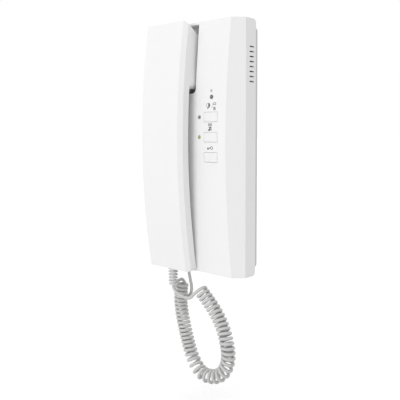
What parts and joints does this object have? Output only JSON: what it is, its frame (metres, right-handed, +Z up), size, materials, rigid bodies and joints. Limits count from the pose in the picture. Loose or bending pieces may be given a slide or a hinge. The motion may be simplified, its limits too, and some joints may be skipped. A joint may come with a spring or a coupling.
{
  "type": "audio intercom handset",
  "caption": "Wall-mounted audio intercom: slab base with push buttons and lamps, bowed handset resting in its cradle, curly cord from base to handset.",
  "frame": {"origin": "centre of the wall bracket's back face, on the wall", "axes": "+Z up along the base, +Y into the wall, +X to the viewer's right, front towards -Y"},
  "size_m": [0.105, 0.0481, 0.3247],
  "materials": {
    "cover_white": "satin",
    "rear_grey": "matt",
    "bracket_steel": "zinc plated",
    "screw_steel": "zinc plated",
    "board_green": "solder resist",
    "switch_black": "matt",
    "terminal_grey": "matt",
    "sounder_black": "matt",
    "button_white": "satin",
    "lamp_dark_green": "clear",
    "lamp_grey": "clear",
    "lamp_yellow_green": "clear",
    "lever_white": "matt",
    "cord_grey": "satin",
    "boot_white": "satin",
    "handset_white": "satin",
    "capsule_metal": "satin",
    "sleeve_rubber": "matt"
  },
  "bodies": {
    "base": {"front_cover": "cover_white", "rear_case": "rear_grey", "wall_bracket": "bracket_steel", "case_screws": "screw_steel", "board_screws": "screw_steel", "hook_pin": "screw_steel", "main_board": "board_green", "upper_switch": "switch_black", "middle_switch": "switch_black", "lower_switch": "switch_black", "hook_switch": "switch_black", "terminal_block": "terminal_grey", "chime_sounder": "sounder_black", "call_lamp": "lamp_dark_green", "left_upper_lamp": "lamp_grey", "left_lower_lamp": "lamp_yellow_green", "base_lead": "cord_grey", "curly_cord": "cord_grey", "handset_lead": "cord_grey", "cord_grommet": "boot_white"},
    "handset": {"handset_front_shell": "handset_white", "handset_rear_shell": "handset_white", "receiver_capsule": "capsule_metal", "microphone_capsule": "capsule_metal", "microphone_sleeve": "sleeve_rubber", "handset_screws": "screw_steel", "strain_boot": "boot_white"},
    "hook_lever": {"hook_lever": "lever_white"},
    "upper_button": {"upper_button": "button_white"},
    "middle_button": {"middle_button": "button_white"},
    "lower_button": {"lower_button": "button_white"}
  },
  "joints": [
    {"name": "handset_lift", "type": "slide", "parent": "base", "child": "handset", "axis": [0, -1, 0], "range_m": [0, 0.08]},
    {"name": "hook_lever_swing", "type": "hinge", "parent": "base", "child": "hook_lever", "pos_m": [-0.0221, -0.0096, 0.06], "axis": [1, 0, 0], "range_deg": [0, 9]},
    {"name": "upper_button_press", "type": "slide", "parent": "base", "child": "upper_button", "axis": [0, 1, 0], "range_m": [0, 0.0008], "stiffness_N_per_m": 600},
    {"name": "middle_button_press", "type": "slide", "parent": "base", "child": "middle_button", "axis": [0, 1, 0], "range_m": [0, 0.0008], "stiffness_N_per_m": 600},
    {"name": "lower_button_press", "type": "slide", "parent": "base", "child": "lower_button", "axis": [0, 1, 0], "range_m": [0, 0.0008], "stiffness_N_per_m": 600}
  ],
  "couplings": [
    {"joint": "hook_lever_swing", "follows": "handset_lift", "rad_per_m": 1.963}
  ]
}
